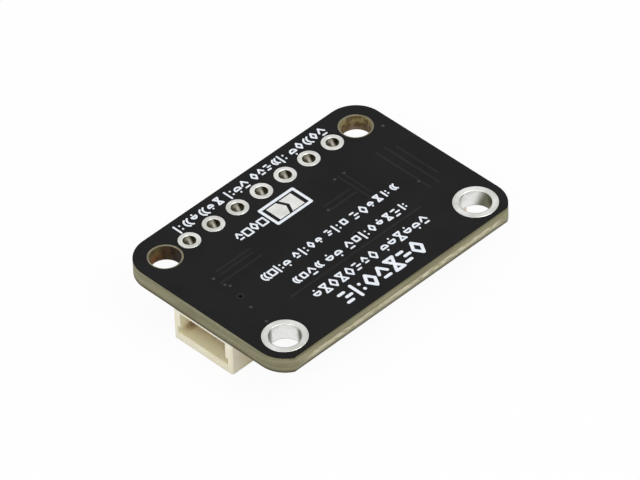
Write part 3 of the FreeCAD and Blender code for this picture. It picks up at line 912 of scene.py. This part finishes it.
LEADED = ("regulator", "transistor_1", "transistor_2", "diode")
CAPACITORS = ("large_capacitor_1", "large_capacitor_2", "small_capacitor_1", "small_capacitor_2")
RESISTORS = ("resistor_1", "resistor_2", "resistor_3", "resistor_4", "resistor_pack")
for part in LEADED:
    soften(part + "_body", 0.04, epoxy)
    soften(part + "_leads", 0.03, contact_metal)
for part in CAPACITORS:
    soften(part + "_body", 0.02, ceramic)
    soften(part + "_ends", 0.04, tin)
for part in RESISTORS:
    resistor_paint = make_resistor(heights(part + "_body")[0])
    soften(part + "_body", 0.015, resistor_paint)
    soften(part + "_ends", 0.02, tin)
soften("sensor_lid", 0.02, lid_metal)
assign("sensor_base", base_laminate)
assign("sensor_die", silicon)
soften("component_lands", 0.02, tin)


# How high the solder climbs, as a share of an end cap's height and in mm on a lead, how much of a land
# a piece has to cover to be soldered to it, and how far the solder runs, sinks in and stays inside it
END_CLIMB_SHARE = 0.6
LEAD_CLIMB = 0.13
LEAST_OVERLAP = 0.1
RUN_SHARE = 0.95
FILLET_SINK = 0.015
FILLET_INSET = 0.01
FILLET_STEPS = 6


def solder_fillets():
    """A hollow-faced wedge of solder from each land's free edge up to the metal that sits on it."""
    verts, faces = [], []
    lands = islands("component_lands")
    metals = [(part + "_ends", END_CLIMB_SHARE) for part in CAPACITORS + RESISTORS]
    metals += [(part + "_leads", None) for part in LEADED]
    metals += [(f"{side}_connector_contacts", None) for side in ("near", "far")]
    metals += [(f"{side}_connector_tabs", None) for side in ("near", "far")]
    for node, share in metals:
        for low, high in islands(node):
            climb = share * (high[2] - low[2]) if share else LEAD_CLIMB
            for land_low, land_high in lands:
                overlaps = [min(high[i], land_high[i]) - max(low[i], land_low[i]) for i in (0, 1)]
                if min(overlaps) < LEAST_OVERLAP:
                    continue
                free = [(land_high[i] - high[i], i, 1) for i in (0, 1)]
                free += [(low[i] - land_low[i], i, -1) for i in (0, 1)]
                reach, along, way = max(free)
                across = 1 - along
                start = high[along] if way > 0 else low[along]
                a = max(low[across], land_low[across]) + FILLET_INSET
                b = min(high[across], land_high[across]) - FILLET_INSET
                run = RUN_SHARE * reach
                outline = [(-FILLET_SINK, FILLET_SINK), (run, FILLET_SINK)]
                for i in range(FILLET_STEPS + 1):
                    t = math.pi / 2 * i / FILLET_STEPS
                    outline.append((run * (1 - math.sin(t)), -climb * (1 - math.cos(t))))
                outline.append((-FILLET_SINK, -climb))
                first = len(verts)
                for side in (a, b):
                    for out, drop in outline:
                        place = [0.0, 0.0, FRONT_LAND_FACE + drop]
                        place[along] = start + way * out
                        place[across] = side
                        verts.append(tuple(place))
                n = len(outline)
                faces.append(tuple(first + i for i in range(n)))
                faces.append(tuple(first + n + i for i in reversed(range(n))))
                for i in range(n):
                    k = (i + 1) % n
                    faces.append((first + i, first + n + i, first + n + k, first + k))
    mesh = to_mesh("solder_fillets", verts, faces, smooth_angle=40)
    put("solder_fillets", mesh, solder)


solder_fillets()


# Stage, light and camera

# The floor's size and its drop under the part, in m, its paint, and its glow's share where it is seen
FLOOR_SIZE = 6.0
FLOOR_DROP = 0.00001
FLOOR_PAINT = (0.86, 0.86, 0.86, 1)
FLOOR_GLOW = 0.94

# The sky's strength as a light, and as it is seen
SKY_LIGHT = 0.62
SKY_SEEN = 1.0
WHITE = (1, 1, 1, 1)

# The point in m that the lamps face
LAMP_TARGET = (0, 0, 0.003)


def seen_directly(tree):
    """1 for what the camera sees, straight or by way of a gloss or a clear thing."""
    path = tree.nodes.new("ShaderNodeLightPath")
    total = path.outputs["Is Camera Ray"]
    for name in ("Is Glossy Ray", "Is Transmission Ray"):
        either = tree.nodes.new("ShaderNodeMath")
        either.operation = "MAXIMUM"
        tree.links.new(total, either.inputs[0])
        tree.links.new(path.outputs[name], either.inputs[1])
        total = either.outputs[0]
    return total


def mixed(tree, fac, a, b):
    n = tree.nodes.new("ShaderNodeMixShader")
    tree.links.new(fac, n.inputs[0])
    tree.links.new(a, n.inputs[1])
    tree.links.new(b, n.inputs[2])
    return n.outputs[0]


def make_floor():
    """A white table. Where it is seen it mostly glows, so its shadow is faint.

    From below it is clear.
    """
    bpy.ops.mesh.primitive_plane_add(size=FLOOR_SIZE, location=(0, 0, -FLOOR_DROP))
    floor = bpy.context.object
    floor.name = "floor"
    mat = bpy.data.materials.new("floor_white")
    mat.use_nodes = True
    t = mat.node_tree
    t.nodes.clear()
    out = t.nodes.new("ShaderNodeOutputMaterial")
    matt = t.nodes.new("ShaderNodeBsdfDiffuse")
    matt.inputs["Color"].default_value = FLOOR_PAINT
    glow = t.nodes.new("ShaderNodeEmission")
    glow.inputs["Color"].default_value = WHITE
    glow.inputs["Strength"].default_value = 1.0
    share = t.nodes.new("ShaderNodeMath")
    share.operation = "MULTIPLY"
    t.links.new(seen_directly(t), share.inputs[0])
    share.inputs[1].default_value = FLOOR_GLOW
    table = mixed(t, share.outputs[0], matt.outputs[0], glow.outputs[0])
    clear = t.nodes.new("ShaderNodeBsdfTransparent")
    side = t.nodes.new("ShaderNodeNewGeometry")
    t.links.new(mixed(t, side.outputs["Backfacing"], table, clear.outputs[0]), out.inputs["Surface"])
    floor.data.materials.append(mat)


def make_world():
    world = bpy.data.worlds.new("studio")
    bpy.context.scene.world = world
    world.use_nodes = True
    t = world.node_tree
    t.nodes.clear()
    out = t.nodes.new("ShaderNodeOutputWorld")
    lights = []
    for strength in (SKY_LIGHT, SKY_SEEN):
        light = t.nodes.new("ShaderNodeBackground")
        light.inputs["Color"].default_value = WHITE
        light.inputs["Strength"].default_value = strength
        lights.append(light.outputs[0])
    t.links.new(mixed(t, seen_directly(t), *lights), out.inputs["Surface"])


def lamp(name, place, target, size, watts):
    data = bpy.data.lights.new(name, "AREA")
    data.shape = "SQUARE"
    data.size = size
    data.energy = watts
    obj = bpy.data.objects.new(name, data)
    bpy.context.scene.collection.objects.link(obj)
    obj.location = place
    obj.rotation_mode = "QUATERNION"
    obj.rotation_quaternion = (Vector(target) - Vector(place)).to_track_quat("-Z", "Y")
    obj.visible_camera = False


make_floor()
make_world()
lamp("key", (0.10, -0.25, 0.42), LAMP_TARGET, 0.30, 1.05)
lamp("fill", (-0.36, -0.06, 0.20), LAMP_TARGET, 0.25, 0.32)

# The camera that took the photograph, solved from the holes' places: its focal length in pixels of a
# picture 640 wide, its place and the point that it faces, in mm from the middle of the four holes at
# the height of the lands, and its turn about its line of sight, in degrees
FOCAL_PIXELS = 7045.0
PICTURE_WIDTH = 640
SENSOR_WIDTH = 36.0
CAMERA_PLACE = Vector((-272.029, -284.362, 354.000))
CAMERA_AIM = Vector((-0.928248, -0.826467, 0.0))
CAMERA_ROLL = -2.145636

# What it can see begins and ends at these distances, in m
CLIP_START = 0.05
CLIP_END = 20.0

camera = bpy.data.cameras.new("camera")
camera.sensor_width = SENSOR_WIDTH
camera.lens = FOCAL_PIXELS / PICTURE_WIDTH * SENSOR_WIDTH
camera.clip_start = CLIP_START
camera.clip_end = CLIP_END
eye = bpy.data.objects.new("camera", camera)
bpy.context.scene.collection.objects.link(eye)
eye.location = (CAMERA_PLACE + Vector((0, MIDDLE_Y, LAND_FACE))) * MM
eye.rotation_mode = "QUATERNION"
roll = Quaternion((0, 0, 1), math.radians(CAMERA_ROLL))
eye.rotation_quaternion = (CAMERA_AIM - CAMERA_PLACE).to_track_quat("-Z", "Y") @ roll
bpy.context.scene.camera = eye
bpy.context.scene.view_settings.view_transform = "Standard"

bpy.context.view_layer.update()
